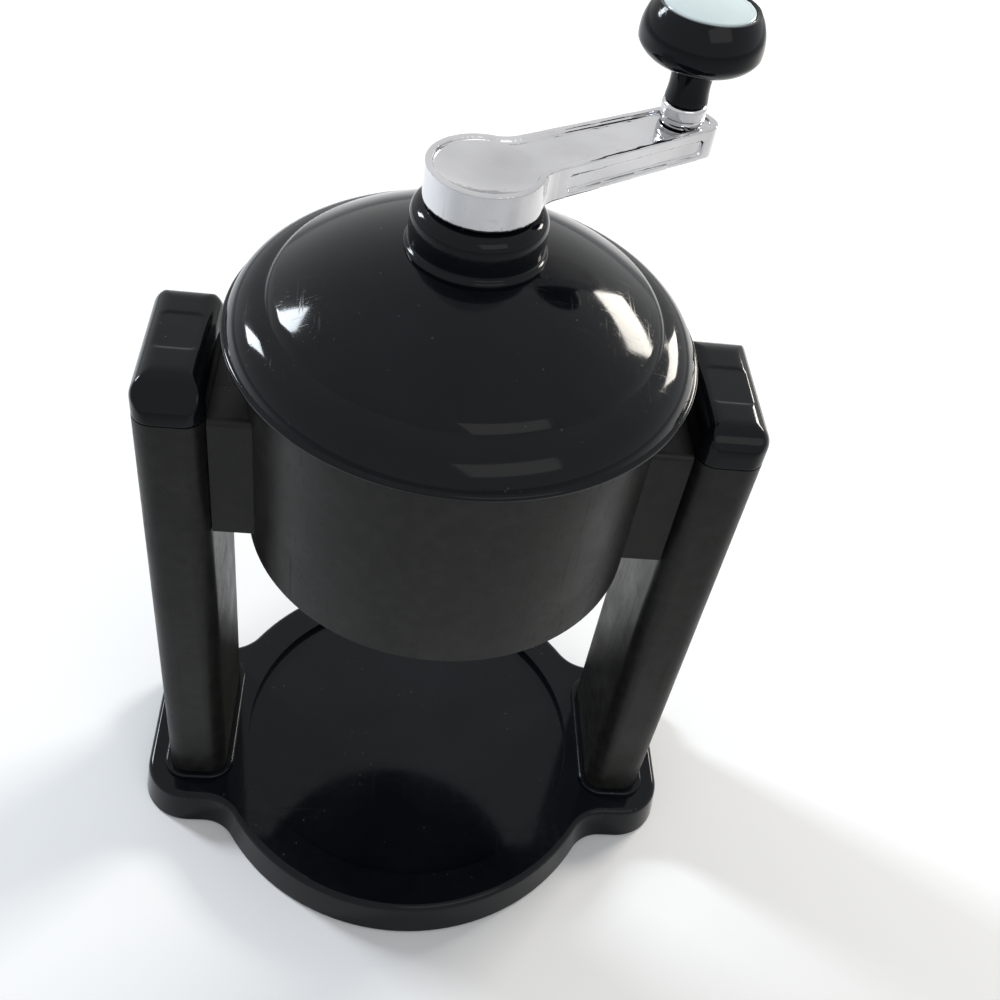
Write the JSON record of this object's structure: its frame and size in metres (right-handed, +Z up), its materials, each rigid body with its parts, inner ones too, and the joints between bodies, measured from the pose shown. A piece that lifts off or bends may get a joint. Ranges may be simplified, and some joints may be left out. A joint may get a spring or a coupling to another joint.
{
  "type": "hand cranked ice shaver",
  "caption": "Hand cranked ice shaver: black tray with two posts, round hopper with a domed lid, and a chrome crank with a knob that turns a sprung press over a blade.",
  "frame": {"origin": "under the middle of the tray, on the plane its feet stand on", "axes": "+Z up along the crank's axis, +X through the post with the cap nearer the knob, -Y towards the person turning the crank"},
  "size_m": [0.195, 0.152, 0.2911],
  "materials": {
    "gloss_black": "glossy",
    "satin_black": "satin",
    "chrome": "polished",
    "steel": "satin",
    "pale_disc": "glossy",
    "bush_plastic": "matte",
    "foot_rubber": "matte"
  },
  "bodies": {
    "stand": {"base_tray": "gloss_black", "foot_front_left": "foot_rubber", "foot_front_right": "foot_rubber", "foot_rear_left": "foot_rubber", "foot_rear_right": "foot_rubber", "post_left": "satin_black", "post_right": "satin_black", "post_cap_left": "gloss_black", "post_cap_right": "gloss_black", "post_screws": "steel", "hopper": "satin_black", "blade_floor": "satin_black", "floor_screws": "steel", "carrier_strap": "satin_black", "strap_screws": "steel"},
    "adjuster": {"blade_adjuster": "satin_black"},
    "blade_block": {"blade_carrier": "satin_black", "blade": "steel", "blade_clamp": "steel", "blade_screws": "steel"},
    "lid_group": {"lid": "gloss_black", "turret": "gloss_black", "turret_nut": "satin_black", "shaft_bush": "bush_plastic", "hub_washer": "bush_plastic", "flange_washer": "bush_plastic"},
    "crank_group": {"crank_arm": "chrome", "handle_ferrule": "chrome", "handle_pin": "steel", "drive_shaft": "steel", "press_spring": "steel"},
    "knob_group": {"knob": "gloss_black", "knob_disc": "pale_disc"},
    "press_group": {"press_bar": "steel", "bar_stop_screw": "steel", "press_plate": "satin_black", "press_spikes": "steel", "press_screw": "steel"}
  },
  "joints": [
    {"name": "lid_lift", "type": "slide", "parent": "stand", "child": "lid_group", "axis": [0, 0, 1], "range_m": [0, 0.08]},
    {"name": "crank_turn", "type": "hinge", "parent": "lid_group", "child": "crank_group", "pos_m": [0, 0, 0.255], "axis": [0, 0, 1], "continuous": true},
    {"name": "knob_spin", "type": "hinge", "parent": "crank_group", "child": "knob_group", "pos_m": [0.05354, 0.03451, 0.275], "axis": [0, 0, 1], "continuous": true},
    {"name": "press_slide", "type": "slide", "parent": "crank_group", "child": "press_group", "axis": [0, 0, 1], "range_m": [0, 0.028], "stiffness_N_per_m": 500, "springref_m": -0.02, "deforming": ["press_spring"]},
    {"name": "adjuster_turn", "type": "hinge", "parent": "stand", "child": "adjuster", "pos_m": [0.027, -0.0195, 0.14], "axis": [0, 0, 1], "range_deg": [0, 270]},
    {"name": "blade_slide", "type": "slide", "parent": "stand", "child": "blade_block", "axis": [0, 0, 1], "range_m": [0, 0.0006]}
  ],
  "couplings": [
    {"joint": "adjuster_turn", "follows": "blade_slide", "rad_per_m": 7853.9}
  ]
}
